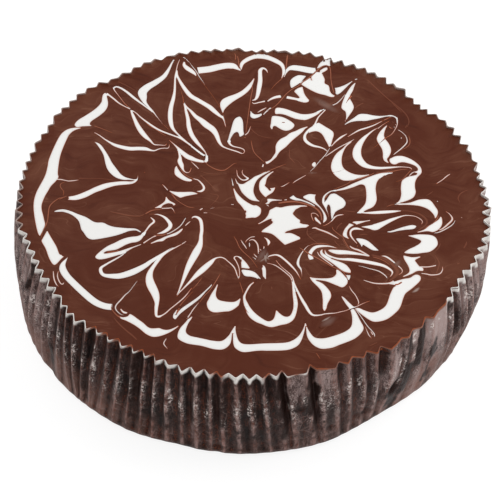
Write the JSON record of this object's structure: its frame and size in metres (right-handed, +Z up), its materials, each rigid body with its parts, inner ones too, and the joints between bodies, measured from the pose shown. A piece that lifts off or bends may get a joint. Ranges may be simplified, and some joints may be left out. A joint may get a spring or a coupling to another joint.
{
  "type": "mud cake",
  "caption": "Round chocolate mud cake with feathered white and dark chocolate icing, in the fluted dark brown paper case it was baked in.",
  "frame": {"origin": "on the surface the cake stands on, under the middle of the rim", "axes": "+Z up, -Y towards the front side that the picture shows, +X to its right"},
  "size_m": [0.2, 0.2, 0.053],
  "materials": {
    "paper_case": "dark brown greaseproof paper, soaked with fat, a soft sheen on the pleats",
    "cake": "dense, moist dark chocolate crumb",
    "chocolate_icing": "smooth set chocolate with a satin gloss",
    "white_chocolate": "white chocolate feathered into the icing, satin gloss"
  },
  "bodies": {
    "root": {"paper_case": "paper_case", "cake": "cake", "chocolate_icing": "chocolate_icing"}
  },
  "joints": []
}
